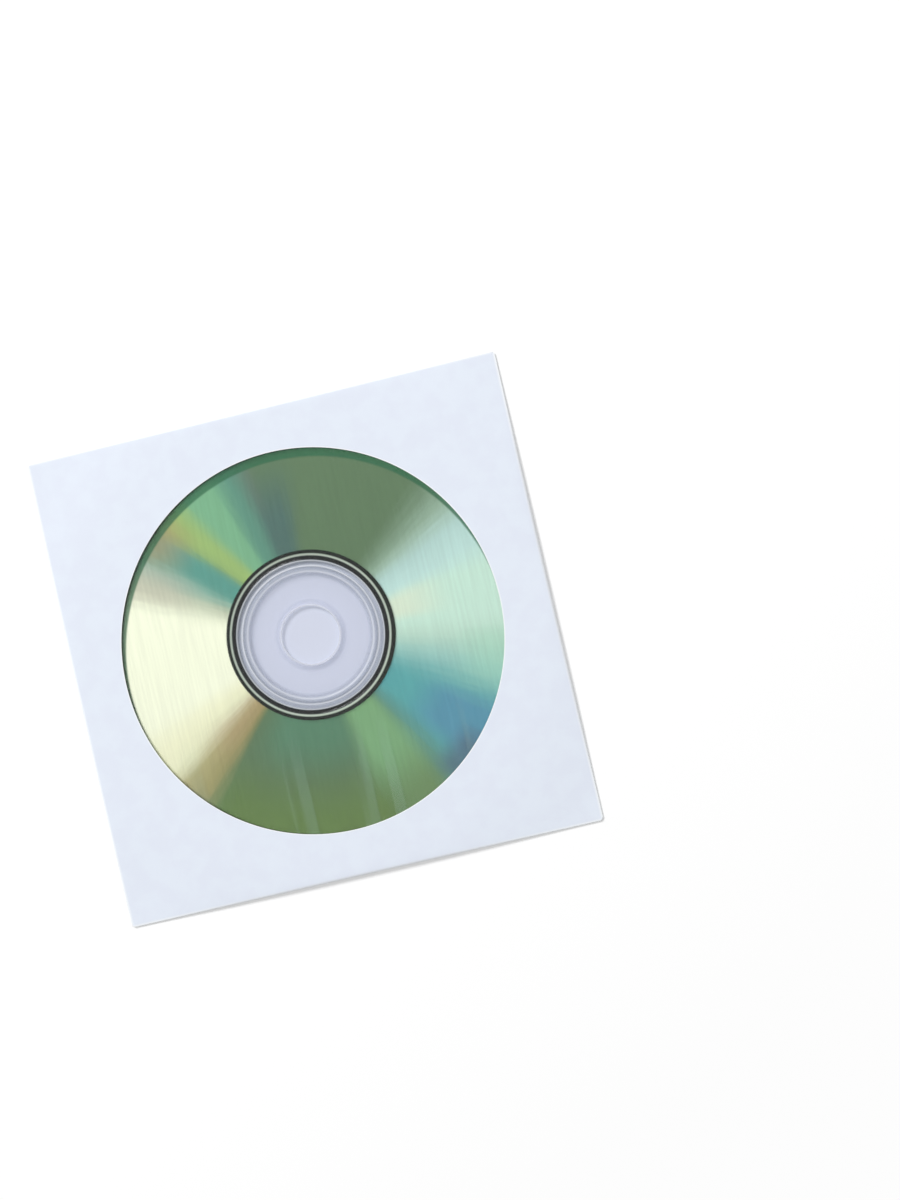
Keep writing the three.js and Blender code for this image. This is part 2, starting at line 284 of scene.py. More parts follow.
class Sheet:
    """The middle surface of a thin sheet, made of rows of points joined by strips of faces."""

    def __init__(self):
        self.points = []
        self.faces = []

    def row(self, places):
        start = len(self.points)
        self.points.extend(places)
        return list(range(start, len(self.points)))

    def stitch(self, inner, outer, closed=False):
        for j in range(len(inner) if closed else len(inner) - 1):
            k = (j + 1) % len(inner)
            self.faces.append((inner[j], outer[j], outer[k], inner[k]))

    def fan(self, centre, ring):
        for j, point in enumerate(ring):
            self.faces.append((centre, point, ring[(j + 1) % len(ring)]))

    def piece(self, name, thickness):
        surface = bpy.data.meshes.new(name + "_surface")
        surface.from_pydata(self.points, [], self.faces)
        thin = bpy.data.objects.new(name + "_surface", surface)
        bpy.context.scene.collection.objects.link(thin)
        solidify = thin.modifiers.new("thickness", "SOLIDIFY")
        solidify.thickness = thickness
        solidify.offset = 0
        solidify.use_even_offset = True
        solidify.use_quality_normals = True
        bpy.context.view_layer.update()
        depsgraph = bpy.context.evaluated_depsgraph_get()
        mesh = bpy.data.meshes.new_from_object(thin.evaluated_get(depsgraph))
        mesh.name = name
        bpy.data.objects.remove(thin)
        mesh.shade_smooth()
        mesh.set_sharp_from_angle(angle=SHARP_ANGLE)
        solid = bpy.data.objects.new(name, mesh)
        bpy.context.scene.collection.objects.link(solid)
        print(name, "faces:", len(mesh.polygons))
        return solid


print("edges sharper than", round(math.degrees(SHARP_ANGLE)), "degrees stay crisp")

# %% [markdown]
# The layers of a closed sleeve lie in a fixed order. The flap and the lower back panel lie on the
# table, further up the back panel climbs over the flap, and the side tabs lie on the back panel. Each
# level below is worked out from the one beneath it, a sheet and a little glue apart.

# %% Levels of the back
GLUE = 0.03 * MM
SHEET_PITCH = PAPER + GLUE
LOWEST = SLEEVE_LOW.z + PAPER / 2
FLAP_DEPTH = 20 * MM
STEP_LENGTH = 3 * MM
STEP_CLEARANCE = 1 * MM
STEP_TOP = HALF_HEIGHT - FLAP_DEPTH - STEP_CLEARANCE
STEP_FOOT = STEP_TOP - STEP_LENGTH


def back_level(y):
    climb = min(1.0, max(0.0, (y - STEP_FOOT) / STEP_LENGTH))
    return LOWEST + SHEET_PITCH * climb


def tab_level(y):
    return back_level(y) + SHEET_PITCH


print("back panel climbs by mm:", round((back_level(STEP_TOP) - back_level(STEP_FOOT)) / MM, 3))

# %% [markdown]
# The front panel is level over the disc and sinks towards the corners, where nothing lies between the
# layers. Real paper doesn't sink evenly, so the slope also gets a few long, shallow swells, which die
# out at the disc's rim and at the corners. The film hangs beneath the front panel, and inside the
# window it lies on the disc's stacking ring, a small bead round the hub, like a very flat cone.

# %% Levels of the front panel and the film
SLIP = 0.05 * MM
RING_RADIUS = 17 * MM
RING_WIDTH = 1 * MM
RING_HEIGHT = 0.15 * MM
FRONT_LEVEL = SLEEVE_HIGH.z - PAPER / 2
FILM_DROP = PAPER / 2 + GLUE + FILM / 2
CORNER_LEVEL = LOWEST + 3 * SHEET_PITCH + SLIP
CORNER_REACH = math.hypot(HALF_WIDTH, HALF_HEIGHT)
FILM_TOP_REACH = RING_RADIUS + RING_WIDTH / 2 + DISC_CENTRE.y + SLIP
SWELL = 0.07 * MM
SWELL_ACROSS = 31 * MM
SWELL_ALONG = 36.5 * MM
SWELL_SHIFT = 3.5 * MM


def smooth(t):
    t = min(1.0, max(0.0, t))
    return t * t * (3 - 2 * t)


def front_level(x, y):
    reach = math.hypot(x - DISC_CENTRE.x, y - DISC_CENTRE.y)
    fall = smooth((reach - DISC_RADIUS) / (CORNER_REACH - DISC_RADIUS))
    across = math.sin((x + SWELL_SHIFT) / SWELL_ACROSS * 2 * math.pi)
    along = math.cos(y / SWELL_ALONG * 2 * math.pi)
    mid_slope = 4 * fall * (1 - fall)
    return FRONT_LEVEL + (CORNER_LEVEL - FRONT_LEVEL) * fall + SWELL * across * along * mid_slope


def film_level(x, y):
    reach = math.hypot(x, y)
    if reach >= WINDOW_RADIUS:
        return front_level(x, y) - FILM_DROP
    fall = smooth((reach - FILM_TOP_REACH) / (WINDOW_RADIUS - FILM_TOP_REACH))
    return FRONT_LEVEL - FILM_DROP + RING_HEIGHT * (1 - fall)


print("front panel stands at mm:", round(FRONT_LEVEL / MM, 3))
print("and at its corners:", round(CORNER_LEVEL / MM, 3))

# %% [markdown]
# A fold is a half-round bend between the front panel and the layer behind it. Its radius is half the
# distance between the two, so the fold is fat at the middle of each side, where the disc holds the
# panels apart, and tight near the corners. The places along the four edges are worked out once: the
# front panel, the folds and the film all use them, so that their faces lie exactly over each other.

# %% Places along the folds
EDGE_SPACING = 2 * MM
CORNER_RELIEF = 0.8 * MM
SAME_PLACE = 1e-6 * MM


def between(stops, spacing):
    """Even places between each two neighbouring stops, no further apart than the spacing."""
    places = [stops[0]]
    for start, end in zip(stops, stops[1:]):
        count = max(1, math.ceil((abs(end - start) - SAME_PLACE) / spacing))
        places += [start + (end - start) * k / count for k in range(1, count + 1)]
    return places


def on_edge(turn, out, along):
    """A point at a distance out from the middle and a distance along the edge, anticlockwise."""
    x, y = ((out, along), (-along, out), (-out, -along), (along, -out))[turn]
    return x, y


def sleeve_edge(turn, out, half_length, stops, under):
    fold_end = half_length - CORNER_RELIEF
    corner = half_length - CORNER_RELIEF / 2
    stops = [-corner, -fold_end, *stops, fold_end, corner]
    return {"turn": turn, "out": out, "fold_end": fold_end, "stops": stops, "under": under}


RIGHT = sleeve_edge(0, HALF_WIDTH, HALF_HEIGHT, [STEP_FOOT, STEP_TOP], tab_level)
TOP = sleeve_edge(1, HALF_HEIGHT, HALF_WIDTH, [], lambda y: LOWEST)
LEFT = sleeve_edge(2, HALF_WIDTH, HALF_HEIGHT, [-STEP_TOP, -STEP_FOOT], tab_level)
BOTTOM = sleeve_edge(3, HALF_HEIGHT, HALF_WIDTH, [], lambda y: LOWEST)


def fold_place(edge, along):
    x, y = on_edge(edge["turn"], edge["out"], along)
    front = front_level(x, y)
    if abs(along) > edge["fold_end"] + SAME_PLACE:
        x, y = on_edge(edge["turn"], edge["out"] - CORNER_RELIEF / 2, along)
        return {"edge": edge, "along": along, "x": x, "y": y, "z": front, "corner": True}
    low = edge["under"](y)
    radius = (front - low) / 2
    line = edge["out"] - PAPER / 2 - radius
    x, y = on_edge(edge["turn"], line, along)
    return {"edge": edge, "along": along, "x": x, "y": y, "z": front, "low": low,
            "radius": radius, "line": line, "corner": False}


PLACES = [fold_place(edge, along)
          for edge in (RIGHT, TOP, LEFT, BOTTOM)
          for along in between(edge["stops"], EDGE_SPACING)[:-1]]
print("places round the sleeve:", len(PLACES))

# %% [markdown]
# The front panel is a rectangle with a round hole, which is awkward for a plain grid. Straight spokes
# solve it: each one starts on the window's circle and ends at a place on the rectangle, and the rings
# of points between them change little by little from round to square. One of these rings is the
# square border of the film patch, so that the film can follow the same rings on its glued part.

# %% Front panel
GLUED_RINGS = 8
RIM_RINGS = 5


def glued_rings(sheet, height):
    rings = []
    for k in range(GLUED_RINGS + 1):
        places = []
        for place in PLACES:
            x, y = place["x"], place["y"]
            to_border = FILM_HALF / max(abs(x), abs(y))
            to_window = WINDOW_RADIUS / math.hypot(x, y)
            share = to_window + (to_border - to_window) * k / GLUED_RINGS
            places.append((x * share, y * share, height(x * share, y * share)))
        rings.append(sheet.row(places))
        if k:
            sheet.stitch(rings[-2], rings[-1], closed=True)
    return rings


def add_front_panel(sheet):
    film_border = glued_rings(sheet, front_level)[-1]
    inner = film_border
    for k in range(1, RIM_RINGS + 1):
        places = []
        for start, place in zip(film_border, PLACES):
            x0, y0, _ = sheet.points[start]
            x = x0 + (place["x"] - x0) * k / RIM_RINGS
            y = y0 + (place["y"] - y0) * k / RIM_RINGS
            places.append((x, y, place["z"] if k == RIM_RINGS else front_level(x, y)))
        outer = sheet.row(places)
        sheet.stitch(inner, outer, closed=True)
        inner = outer
    return inner


paper_sheet = Sheet()
panel_border = add_front_panel(paper_sheet)
print("points of the front panel:", len(paper_sheet.points))

# %% [markdown]
# Behind the front panel the same sheet goes on. Every part of it starts with the half-round fold at
# its edge, so the fold is one function. The two side tabs come first. Their ends are slanted, as on a
# real sleeve, so that they don't show at its corners.

# %% Folds and side tabs
BEND_FACES = 12
TAB_WIDTH = 12 * MM
TAB_TAPER = 3 * MM
TAB_TAPER_LENGTH = 11 * MM


def add_fold(sheet, border, edge):
    picked = [(point, place) for point, place in zip(border, PLACES)
              if place["edge"] is edge and not place["corner"]]
    row = [point for point, place in picked]
    for k in range(1, BEND_FACES + 1):
        angle = math.pi * k / BEND_FACES
        places = []
        for _, place in picked:
            out = place["line"] + place["radius"] * math.sin(angle)
            z = (place["z"] + place["low"]) / 2 + place["radius"] * math.cos(angle)
            places.append((*on_edge(edge["turn"], out, place["along"]), z))
        outer = sheet.row(places)
        sheet.stitch(row, outer)
        row = outer
    return row, [place["along"] for _, place in picked]


def add_tab(sheet, border, edge):
    row, alongs = add_fold(sheet, border, edge)
    straight = edge["fold_end"] - TAB_TAPER_LENGTH
    slant = TAB_TAPER / TAB_TAPER_LENGTH
    places = []
    for along in alongs:
        past = max(0.0, abs(along) - straight)
        along -= math.copysign(past * slant, along)
        x, y = on_edge(edge["turn"], edge["out"] - TAB_WIDTH, along)
        places.append((x, y, tab_level(y)))
    sheet.stitch(row, sheet.row(places))


add_tab(paper_sheet, panel_border, RIGHT)
add_tab(paper_sheet, panel_border, LEFT)
print("points with both tabs:", len(paper_sheet.points))

# %% [markdown]
# The back panel comes up from the bottom fold, lies on the tabs and climbs over the flap. It ends
# a little short of the top edge, so that a finger can reach the disc.

# %% Back panel
PANEL_SPACING = 6 * MM
THROAT_SETBACK = 3 * MM


def add_back_panel(sheet, border):
    row, alongs = add_fold(sheet, border, BOTTOM)
    stops = [-HALF_HEIGHT + PANEL_SPACING, STEP_FOOT, STEP_TOP, HALF_HEIGHT - THROAT_SETBACK]
    for y in between(stops, PANEL_SPACING):
        outer = sheet.row([(x, y, back_level(y)) for x in alongs])
        sheet.stitch(row, outer)
        row = outer


add_back_panel(paper_sheet, panel_border)
print("points with the back panel:", len(paper_sheet.points))

# %% [markdown]
# The flap is a trapezoid with round corners, folded over behind. Its rows get shorter towards its
# free edge, and the last rows follow a quarter circle. That arc stops a little early, because a row
# at its very end would have no length left in the corners. With the flap the sheet is complete, and
# gets its thickness.

# %% Flap and the finished sheet
FLAP_INSET = 5.7 * MM
FLAP_CORNER = 3 * MM
CORNER_ROWS = 6
CORNER_TURN = math.radians(87.3)


def add_flap(sheet, border):
    row, alongs = add_fold(sheet, border, TOP)
    straight = FLAP_DEPTH - FLAP_CORNER
    depths = [(straight / 2, 0.0), (straight, 0.0)]
    for k in range(1, CORNER_ROWS + 1):
        angle = k / CORNER_ROWS * CORNER_TURN
        depths.append((straight + FLAP_CORNER * math.sin(angle), FLAP_CORNER * (1 - math.cos(angle))))
    for depth, cut in depths:
        share = 1 - (FLAP_INSET * depth / FLAP_DEPTH + cut) / TOP["fold_end"]
        places = [(*on_edge(1, HALF_HEIGHT - depth, along * share), LOWEST) for along in alongs]
        outer = sheet.row(places)
        sheet.stitch(row, outer)
        row = outer


add_flap(paper_sheet, panel_border)
sleeve_paper = paper_sheet.piece("sleeve_paper", PAPER)

# %% [markdown]
# The film patch follows the front panel's rings where it is glued. Inside the window the rings go on
# towards the middle. One of them lies on the stacking ring, where the slope of the film changes, and
# the innermost is closed by a fan of triangles.

# %% Film patch
FILM_SPACING = 4 * MM
FILM_INNERMOST = FILM_TOP_REACH / 4

film_sheet = Sheet()
film_outer = glued_rings(film_sheet, film_level)[0]
film_radii = between([WINDOW_RADIUS, FILM_TOP_REACH, FILM_INNERMOST], FILM_SPACING)[1:]
for radius in film_radii:
    shares = [(place["x"], place["y"], radius / math.hypot(place["x"], place["y"])) for place in PLACES]
    ring = film_sheet.row([(x * s, y * s, film_level(x * s, y * s)) for x, y, s in shares])
    film_sheet.stitch(ring, film_outer, closed=True)
    film_outer = ring
film_middle = film_sheet.row([(0.0, 0.0, film_level(0, 0))])[0]
film_sheet.fan(film_middle, film_outer)
film_patch = film_sheet.piece("film_patch", FILM)

# %% [markdown]
# The disc was moulded in a round tool, so both of its pieces are made by turning an outline about the
# middle. A lathe in the editor is the Screw modifier or the Spin tool. Spin works on the mesh itself
# and leaves no modifier behind; a merge then closes the seam where the last face meets the first.

# %% Helper for turned pieces
DISC_FACES = 256
MERGE_DISTANCE = 0.0001 * MM


def turned(name, outline):
    """Turns a closed outline of radius and height about the disc's axis."""
    shape = bmesh.new()
    ring = [shape.verts.new((radius, 0, z)) for radius, z in outline]
    edges = [shape.edges.new((ring[j], ring[(j + 1) % len(ring)])) for j in range(len(ring))]
    bmesh.ops.spin(shape, geom=ring + edges, cent=(0, 0, 0), axis=(0, 0, 1),
                   angle=2 * math.pi, steps=DISC_FACES, use_merge=True)
    bmesh.ops.remove_doubles(shape, verts=shape.verts, dist=MERGE_DISTANCE)
    bmesh.ops.recalc_face_normals(shape, faces=shape.faces)
    bmesh.ops.translate(shape, verts=shape.verts, vec=DISC_CENTRE)
    mesh = bpy.data.meshes.new(name)
    shape.to_mesh(mesh)
    shape.free()
    mesh.shade_smooth()
    mesh.set_sharp_from_angle(angle=SHARP_ANGLE)
    piece = bpy.data.objects.new(name, mesh)
    bpy.context.scene.collection.objects.link(piece)
    print(name, "faces:", len(mesh.polygons))
    return piece


print("faces round the disc:", DISC_FACES)

# %% [markdown]
# The plate's outline has the relief of a real hub on the read side: the chamfered hole, the stacking
# ring that keeps discs apart in a pile, and a groove from the moulding tool. Ring and groove have
# a round section, so one function draws both, the groove with its height below zero.

# %% Disc plate
HOLE_RADIUS = 7.5 * MM
CHAMFER = 0.2 * MM
GROOVE_RADIUS = 20 * MM
GROOVE_WIDTH = 0.8 * MM
GROOVE_DEPTH = 0.12 * MM
BEAD_POINTS = 7
PLATE_TOP = PLATE_HIGH.z - RING_HEIGHT


def bead(radius, width, height, level):
    """Outline of a round-backed bead, or of a groove where the height is negative, from out to in."""
    points = []
    for k in range(BEAD_POINTS):
        t = k / (BEAD_POINTS - 1)
        points.append((radius + width / 2 - width * t, level + height * math.sin(math.pi * t)))
    return points


disc_plate = turned("disc_plate", [
    (HOLE_RADIUS + CHAMFER, PLATE_LOW.z),
    (DISC_RADIUS - CHAMFER, PLATE_LOW.z),
    (DISC_RADIUS, PLATE_LOW.z + CHAMFER),
    (DISC_RADIUS, PLATE_TOP - CHAMFER),
    (DISC_RADIUS - CHAMFER, PLATE_TOP),
    *bead(GROOVE_RADIUS, GROOVE_WIDTH, -GROOVE_DEPTH, PLATE_TOP),
    *bead(RING_RADIUS, RING_WIDTH, RING_HEIGHT, PLATE_TOP),
    (HOLE_RADIUS + CHAMFER, PLATE_TOP),
    (HOLE_RADIUS, PLATE_TOP - CHAMFER),
    (HOLE_RADIUS, PLATE_LOW.z + CHAMFER),
])

# %% [markdown]
# The coat is a thin ring beneath the plate. It lies a hair's breadth lower than the plate's underside,
# because two faces in one place would flicker against each other in the render.

# %% Disc coat
COAT_DROP = 0.01 * MM
COAT_INNER = 21.2 * MM
COAT_OUTER = (COAT_HIGH.x - COAT_LOW.x) / 2
disc_coat = turned("disc_coat", [
    (COAT_INNER, COAT_LOW.z),
    (COAT_OUTER, COAT_LOW.z),
    (COAT_OUTER, COAT_HIGH.z - COAT_DROP),
    (COAT_INNER, COAT_HIGH.z - COAT_DROP),
])

# %% [markdown]
# The finishes need more than single nodes. Most of them ask where a point lies on the piece, how far
# it is from a middle, or lay one colour over another. These recipes are added to the node helper
# once. They use object coordinates, in metres, so each pattern has its real size and stays on the
# piece when it is turned or seen from elsewhere.

# %% Helpers for finishes


class Finish(Nodes):
    """A material, with the patterns that the finishes share."""

    def __init__(self, name):
        self.material = bpy.data.materials.new(name)
        super().__init__(self.material, "ShaderNodeOutputMaterial")

    def vector_math(self, operation, a, b=(0, 0, 0)):
        return self.add("ShaderNodeVectorMath", {0: a, 1: b}, operation=operation).outputs[0]

    def ramp(self, value, low, high, to_low=0.0, to_high=1.0):
        """A smooth step of the value between low and high."""
        inputs = {"Value": value, "From Min": low, "From Max": high, "To Min": to_low, "To Max": to_high}
        return self.add("ShaderNodeMapRange", inputs, interpolation_type="SMOOTHSTEP").outputs[0]

    def tint(self, share, under, over):
        """The colour over laid on the colour under, as far as the share says. The Mix node has
        sockets for each kind of value: its colours are inputs 6 and 7 and output 2."""
        mixed = self.add("ShaderNodeMix", {"Factor": share, 6: under, 7: over}, data_type="RGBA")
        return mixed.outputs[2]

    def mix(self, share, under, over):
        """One shader over another, as far as the share says."""
        return self.add("ShaderNodeMixShader", {0: share, 1: under, 2: over})

    def place(self, centre=(0, 0, 0)):
        """The place on the piece, in metres from a centre."""
        coordinates = self.add("ShaderNodeTexCoord")
        return self.vector_math("SUBTRACT", coordinates.outputs["Object"], tuple(centre))

    def flat(self, place):
        """The place without its height."""
        return self.vector_math("MULTIPLY", place, (1, 1, 0))

    def axes(self, place):
        """The place's three outputs X, Y and Z."""
        return self.add("ShaderNodeSeparateXYZ", {0: place}).outputs

    def length(self, place):
        return self.add("ShaderNodeVectorMath", {0: place}, operation="LENGTH").outputs["Value"]

    def noise(self, place, size, stretch=(1, 1, 1), detail=3.0, roughness=0.5):
        """Noise with features of about the given size, stretched along the axes."""
        scaled = self.vector_math("MULTIPLY", place, tuple(1 / (size * s) for s in stretch))
        inputs = {"Vector": scaled, "Scale": 1.0, "Detail": detail, "Roughness": roughness}
        return self.add("ShaderNodeTexNoise", inputs).outputs["Fac"]


print("recipes for finishes:", ", ".join(name for name in vars(Finish) if not name.startswith("_")))

# %% [markdown]
# The paper is uncoated, smooth and very slightly blue, because such paper holds a brightener. Up close
# it isn't even: fibres give it a fine tooth, and where they lie thicker it is a shade whiter, which
# papermakers call its formation. Two noises make both. The fibre noise drives a bump that is only
# a few thousandths of a millimetre high, and the larger cloudy one shifts the colour by a per cent.

# %% Paper's body
PAPER_COLOUR = screen(231, 238, 249)
PAPER_THIN_COLOUR = screen(229, 235, 247)
FIBRE_SIZE = 0.25 * MM
FIBRE_HEIGHT = 0.003 * MM
FORMATION_SIZE = 5 * MM
FORMATION_THIN = 0.35
FORMATION_THICK = 0.65

paper_finish = Finish("white_paper_finish")
paper_place = paper_finish.place()
fibres = paper_finish.noise(paper_place, FIBRE_SIZE, detail=2)
tooth = paper_finish.add("ShaderNodeBump", {"Height": fibres, "Distance": FIBRE_HEIGHT, "Strength": 1.0})
formation = paper_finish.noise(paper_place, FORMATION_SIZE, detail=4)
cloud = paper_finish.ramp(formation, FORMATION_THIN, FORMATION_THICK)
paper_colour = paper_finish.tint(cloud, PAPER_THIN_COLOUR, PAPER_COLOUR)
print("paper's nodes so far:", len(paper_finish.tree.nodes))

# %% [markdown]
# Along the window's cut edge and along the folds a fine paler line is painted into the paper's colour:
# a painted highlight, where the cut and the crests of the folds catch the light. Its mask needs no
# drawing: the distance from the window's middle finds the cut, and the distances across and along the
# sleeve find the folds.

# %% Paper's painted highlight on the cut and folded edges
EDGE_HIGHLIGHT_COLOUR = screen(250, 253, 255)
PAINTED_EDGE_WIDTH = 0.45 * MM

paper_reach = paper_finish.length(paper_finish.flat(paper_place))
cut_edge = paper_finish.ramp(paper_reach, WINDOW_RADIUS, WINDOW_RADIUS + PAINTED_EDGE_WIDTH, 1.0, 0.0)
across = paper_finish.axes(paper_finish.vector_math("ABSOLUTE", paper_place))
side_fold = paper_finish.ramp(across["X"], HALF_WIDTH - 2 * PAINTED_EDGE_WIDTH, HALF_WIDTH)
end_fold = paper_finish.ramp(across["Y"], HALF_HEIGHT - 2 * PAINTED_EDGE_WIDTH, HALF_HEIGHT)
folds = paper_finish.math("MAXIMUM", side_fold, end_fold)
edge_highlight = paper_finish.math("MAXIMUM", cut_edge, folds)
# painted highlight: the window's cut edge and the fold crests are made paler, standing in for light
# caught there
paper_colour = paper_finish.tint(edge_highlight, paper_colour, EDGE_HIGHLIGHT_COLOUR)
print("paler line in mm:", PAINTED_EDGE_WIDTH / MM)

# %% [markdown]
# Paper lets light through. What falls on the back panel through the disc's clear hub spreads sideways
# into the dark pocket and is partly lost there, so that the paper looks a little darker through the
# hub. Scattering inside the sheet would need the light to work in its full thickness, which is slow
# and lost in an export, so that patch gets painted shade instead: its colour is darkened. Then the
# colour and the bump meet in one matt shader.

# %% Paper's painted shade under the hub
POCKET_SHADE_COLOUR = screen(225, 230, 243)
POCKET_RADIUS = 22 * MM
POCKET_CEILING = 0.5 * MM
PAPER_ROUGHNESS = 0.9
PAPER_GLOSS = 0.2

under_hub = paper_finish.ramp(paper_reach, POCKET_RADIUS, POCKET_RADIUS + PAINTED_EDGE_WIDTH, 1.0, 0.0)
in_pocket = paper_finish.math("LESS_THAN", paper_finish.axes(paper_place)["Z"], POCKET_CEILING)
pocket_shade_share = paper_finish.math("MULTIPLY", under_hub, in_pocket)
# painted shade: the back panel under the hub is darkened in its colour, standing in for the dim pocket
paper_colour = paper_finish.tint(pocket_shade_share, paper_colour, POCKET_SHADE_COLOUR)
paper_finish.surface(paper_finish.add("ShaderNodeBsdfPrincipled", {
    "Base Color": paper_colour,
    "Roughness": PAPER_ROUGHNESS,
    "Specular IOR Level": PAPER_GLOSS,
    "Normal": tooth,
}))
print("nodes in the paper's finish:", len(paper_finish.tree.nodes))

# %% [markdown]
# The film is clear and glossy, and mostly one sees through it. It is mixed from a see-through shader
# and a glossy one: little gloss straight on, much of it from the side. The Fresnel node would be the
# usual guide for that. But the see-through shader doesn't bend a ray, and at the film's lower face
# the node then takes slanting rays for trapped ones and turns the film black. So the share comes from
# how far the surface faces away, to the fifth power, which is close to the real law and the same on
# both faces. Thin film has fine lines along the direction in which it was drawn, here the sleeve's
# height. They bend the reflections, so they are a bump.

# %% Film's gloss
FILM_ROUGHNESS = 0.06
FILM_GLOSS = 0.02
FILM_CLEARNESS = screen(252, 252, 253)
SLANT_POWER = 5.0
FILM_LINE_WIDTH = 0.8 * MM
FILM_LINE_HEIGHT = 0.004 * MM
FILM_LINE_STRETCH = (1, 60, 1)

film_finish = Finish("clear_film_finish")
film_place = film_finish.place()
film_lines = film_finish.noise(film_place, FILM_LINE_WIDTH, FILM_LINE_STRETCH)
film_bump = film_finish.add("ShaderNodeBump", {"Height": film_lines, "Distance": FILM_LINE_HEIGHT})
film_clear = film_finish.add("ShaderNodeBsdfTransparent", {"Color": FILM_CLEARNESS})
film_gloss = film_finish.add("ShaderNodeBsdfGlossy", {"Roughness": FILM_ROUGHNESS, "Normal": film_bump})
facing = film_finish.add("ShaderNodeLayerWeight").outputs["Facing"]
slant = film_finish.math("POWER", facing, SLANT_POWER)
gloss_share = film_finish.add("ShaderNodeMapRange", {"Value": slant, "To Min": FILM_GLOSS})
film_shader = film_finish.mix(gloss_share, film_clear, film_gloss)
print("gloss of the film straight on:", FILM_GLOSS)

# %% [markdown]
# A few of the film's drawn lines are a little milky, and scatter light. They show as faint streaks,
# mostly over the lower half of the window. A slower noise picks the places, and only its crests
# count, so that clear film lies between the streaks.

# %% Film's streaks
STREAK_WIDTH = 4 * MM
STREAK_STRETCH = (1, 40, 1)
STREAK_COLOUR = screen(190, 226, 206)
STREAK_SHARE = 0.055
STREAK_BEGINS = 0.56
STREAK_CREST = 0.68
STREAK_FADES_AT = -16 * MM
STREAK_FULL_AT = -40 * MM

streaks = film_finish.noise(film_place, STREAK_WIDTH, STREAK_STRETCH, detail=1)
crests = film_finish.ramp(streaks, STREAK_BEGINS, STREAK_CREST, 0.0, STREAK_SHARE)
film_height = film_finish.axes(film_place)["Y"]
lower_half = film_finish.ramp(film_height, STREAK_FULL_AT, STREAK_FADES_AT, 1.0, 0.0)
streak_share = film_finish.math("MULTIPLY", crests, lower_half)
film_milk = film_finish.add("ShaderNodeBsdfDiffuse", {"Color": STREAK_COLOUR})
film_finish.surface(film_finish.mix(streak_share, film_shader, film_milk))
print("nodes in the film's finish:", len(film_finish.tree.nodes))

# %% [markdown]
# The plate is clear too, and over the coat it hardly shows. At the hub, where there is no coat, the
# moulded plastic looks a little milky, and its steps, its stacking ring and its groove show as fine
# light and dark rings, because their slopes send the light elsewhere. A see-through shader knows
# nothing of that, so a colour ramp over the distance from the middle says what colour each ring has,
# and the ramp's alpha says how much of what lies beneath it hides. Each line below is one stop: its
# radius in millimetres, its colour on screen, and how much it hides.

# %% Plate finish
PLATE_ROUGHNESS = 0.12
PLATE_GLOSS = 0.1
RAMP_REACH = 24 * MM
HUB_RINGS = [
    (7.5, (250, 252, 255), 0.45),
    (8.0, (238, 241, 250), 0.30),
    (8.4, (204, 209, 228), 0.10),
    (8.8, (184, 190, 212), 0.12),
    (9.6, (206, 210, 230), 0.05),
    (15.0, (204, 209, 226), 0.06),
    (15.8, (160, 168, 186), 0.20),
    (16.5, (242, 246, 251), 0.50),
    (17.0, (204, 211, 222), 0.24),
    (17.5, (140, 150, 162), 0.26),
    (17.9, (248, 251, 254), 0.58),
    (18.4, (196, 205, 214), 0.14),
    (18.9, (176, 186, 196), 0.16),
    (19.3, (240, 245, 248), 0.66),
    (19.5, (60, 68, 70), 0.90),
    (19.7, (10, 15, 15), 0.98),
    (20.3, (10, 15, 15), 0.98),
    (20.5, (60, 72, 66), 0.92),
    (20.75, (214, 226, 208), 0.90),
    (21.0, (190, 206, 186), 0.90),
    (21.25, (6, 22, 10), 0.97),
    (21.85, (6, 22, 10), 0.96),
    (22.15, (60, 80, 64), 0.0),
]

plate_finish = Finish("clear_plate_finish")
plate_reach = plate_finish.length(plate_finish.flat(plate_finish.place(DISC_CENTRE)))
ring_ramp = plate_finish.add(
    "ShaderNodeValToRGB", {"Fac": plate_finish.math("DIVIDE", plate_reach, RAMP_REACH)})
ring_stops = ring_ramp.color_ramp.elements
ring_stops.remove(ring_stops[1])
for index, (radius, tone, hiding) in enumerate(HUB_RINGS):
    stop = ring_stops.new(radius * MM / RAMP_REACH) if index else ring_stops[0]
    stop.position = radius * MM / RAMP_REACH
    stop.color = (*screen(*tone)[:3], hiding)
plate_clear = plate_finish.add("ShaderNodeBsdfTransparent")
plate_plastic = plate_finish.add("ShaderNodeBsdfPrincipled", {
    "Base Color": ring_ramp.outputs["Color"],
    "Roughness": PLATE_ROUGHNESS,
    "Specular IOR Level": PLATE_GLOSS,
})
plate_finish.surface(plate_finish.mix(ring_ramp.outputs["Alpha"], plate_clear, plate_plastic))
print("rings of the hub:", len(HUB_RINGS))

# %% [markdown]
# The coat is what makes the disc: a green dye over a mirror, with a fine spiral track that spreads
# light into fans of colour. All its patterns are worked out in polar terms, as a distance and
# a direction from the disc's middle. The sides of a real fan are never quite clean, because the track
# isn't, so a noise that runs out along the spokes shifts each direction by a few degrees.

# %% Coat's directions
FAN_MIDDLE_RADIUS = 36 * MM
BRUSH_SPACING = 0.03
BRUSH_REACH = math.radians(5)
BRUSH_LENGTH = 14 * MM
BRUSH_ROUGHNESS = 0.6
NOISE_MEAN = 0.5

